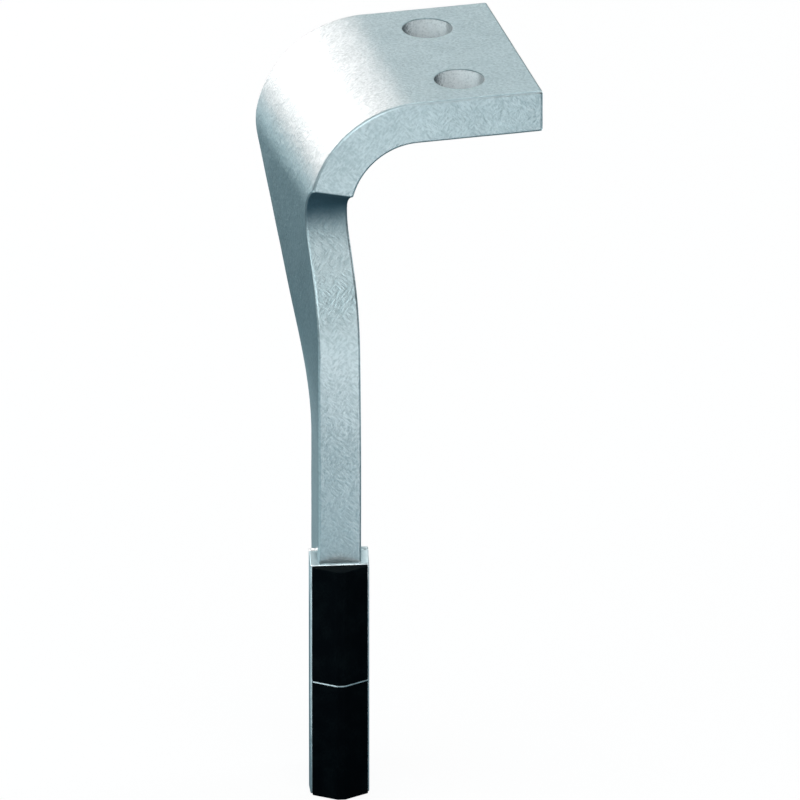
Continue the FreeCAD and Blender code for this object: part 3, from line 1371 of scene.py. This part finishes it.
@dataclass
class Studio:
    """Pale floor, soft lamps, plain surroundings and the camera."""

    floor_z: float = -300.5
    floor_size: float = 80000.0
    floor_colour: Colour = (0.95, 0.95, 0.95)
    floor_return: Colour = (0.06, 0.14, 0.17)
    background_share: float = 0.93
    mirrored_share: float = 0.03
    ambient: Colour = (0.001, 0.003, 0.005)
    lamp_aim: Point = (-15.0, 0.0, -120.0)
    lens: float = 1400.0
    azimuth: float = -13.8026
    elevation: float = 23.7421
    aim: Point = (-18.388, 0.0, -154.234)
    distance: float = 12884.0
    view_depth: Span = (500.0, 100000.0)
    lamps: Tuple[Lamp, ...] = (
        Lamp("bend_low", (-749, 1520, 85), 700, 4.65, WARM),
        Lamp("bend_middle", (-526, 1515, 459), 700, 6.0, WARM),
        Lamp("bend_start", (-49, 1510, 660), 500, 2.5, WARM),
        Lamp("flange_top", (588, 1464, 500), 800, 1.38, PALE_COOL),
        Lamp("top_back", (359, 1105, 1121), 1000, 1.5, PALE_COOL),
        Lamp("overhead", (230, 320, 1440), 1000, 8.0, PALE_COOL),
        Lamp("left_high", (-1004, -450, 914), 1400, 6.5, PALE_COOL),
        Lamp("left_side", (-1240, 380, 740), 900, 3.5, COOL),
        Lamp("left_front", (-1250, -250, 330), 1300, 2.4, PALE_COOL),
        Lamp("right_side", (1250, 250, 500), 1000, 7.0, PALE_COOL),
        Lamp("front_high", (256, -723, 1506), 800, 2.4, PALE_COOL),
        Lamp("front_middle", (346, -1192, 1180), 800, 1.8),
        Lamp("frontal", (-343, -1333, 484), 900, 6.7, PALE_COOL),
        Lamp("front_wide", (230, -1103, 284), 1100, 0.3),
        Lamp("front_card", (113, -786, -200), 500, 0.8),
        Lamp("floor_card_far", (120, -660, -299), 340, 0.37, COOL, True),
        Lamp("floor_card_middle", (10, -420, -299), 220, 0.29, WARM, True),
        Lamp("floor_card_near", (-50, -300, -299), 160, 0.041, BLUE, True),
        Lamp("floor_card_back", (-490, 980, -299), 400, 1.03, COOL, True),
        Lamp("floor_card_behind", (-70, 250, -299), 220, 0.04, COOL, True),
        Lamp("floor_card_left", (-350, -170, -299), 480, 0.4, PALE_COOL, True),
        Lamp("floor_card_far_left", (-950, -50, -299), 600, 0.5, PALE_COOL, True),
        Lamp("floor_card_right", (650, 0, -299), 700, 1.4, PALE_COOL, True),
    )

    def build(self) -> None:
        """Sets up everything round the tine."""
        self._floor()
        self._world()
        for lamp in self.lamps:
            lamp.build(Vector(self.lamp_aim) * MM)
        self._camera()
        bpy.context.scene.view_settings.view_transform = "Standard"

    def _rays(self, plan: ShaderPlan) -> Tuple[Wire, Wire]:
        """What sees the pale background: the camera in full, gloss and glass by a share.

        Args:
            plan: Tree of the floor or the surroundings.

        Returns:
            Mask of the camera's rays, and the share of the mirrored and passed ones.
        """
        rays = plan.node("ShaderNodeLightPath")
        seen, glossy, passed = [
            Wire(plan, rays.outputs[name])
            for name in ("Is Camera Ray", "Is Glossy Ray", "Is Transmission Ray")]
        return seen, (glossy + passed) * self.mirrored_share

    def _floor(self) -> None:
        """Lays the floor: white to the camera, with the tine's shadow kept."""
        half = self.floor_size / 2
        corners = [(x * half, y * half, self.floor_z)
                   for x, y in ((-1, -1), (1, -1), (1, 1), (-1, 1))]
        floor = mesh_object("floor", corners, [(0, 1, 2, 3)])
        made = bpy.data.materials.new("pale floor")
        plan = ShaderPlan(made)
        seen, mirrored = self._rays(plan)
        colour = plan.mix(seen, self.floor_return, self.floor_colour)
        matt = plan.wire("ShaderNodeBsdfDiffuse", None, {"Color": colour})
        white = plan.wire("ShaderNodeEmission", None, {"Color": WHITE, "Strength": 1.0})
        share = seen * self.background_share + mirrored
        plan.close(plan.wire("ShaderNodeMixShader", None, {0: share, 1: matt, 2: white}))
        floor.data.materials.append(made)

    def _world(self) -> None:
        """Fills the surroundings: white to the camera, a dim cool fill to the tine."""
        world = bpy.data.worlds.new("surroundings")
        bpy.context.scene.world = world
        plan = ShaderPlan(world)
        fill, white = [
            plan.wire("ShaderNodeBackground", None, {"Color": colour, "Strength": 1.0})
            for colour in ((*self.ambient, 1.0), WHITE)]
        seen, mirrored = self._rays(plan)
        both = plan.wire("ShaderNodeMixShader", None, {0: seen + mirrored, 1: fill, 2: white})
        plan.close(both, "ShaderNodeOutputWorld")

    def _camera(self) -> None:
        """Stands the camera at the photograph's angle, far off with a long lens."""
        data = bpy.data.cameras.new("camera")
        data.lens = self.lens
        data.clip_start, data.clip_end = [depth * MM for depth in self.view_depth]
        camera = bpy.data.objects.new("camera", data)
        around, up = math.radians(self.azimuth), math.radians(self.elevation)
        back = Vector((math.sin(around) * math.cos(up), -math.cos(around) * math.cos(up),
                       math.sin(up)))
        camera.location = (Vector(self.aim) + back * self.distance) * MM
        camera.rotation_mode = "QUATERNION"
        camera.rotation_quaternion = (-back).to_track_quat("-Z", "Y")
        bpy.context.scene.collection.objects.link(camera)
        bpy.context.scene.camera = camera


def main() -> None:
    """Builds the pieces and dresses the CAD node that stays."""
    logging.basicConfig(level=logging.INFO, format="%(message)s")
    steel = ForgedSteel("forged steel", colour=(0.55, 0.63, 0.65), roughness=0.40,
                        metallic=1.0).material()
    carbide = Carbide("tungsten carbide", colour=(0.001, 0.002, 0.003), roughness=0.50,
                      metallic=0.0).material()
    braze = SilverBraze("silver braze", colour=(0.90, 0.93, 0.94), roughness=0.30,
                        metallic=0.75).material()

    Studio().build()
    Forging().build(steel)
    tiles = Tiles()
    tiles.build(carbide)
    BrazeBeads(tiles).build(braze)
    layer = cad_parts["braze_layer"]
    layer.data.materials.clear()
    layer.data.materials.append(braze)


if __name__ == "__main__":
    main()
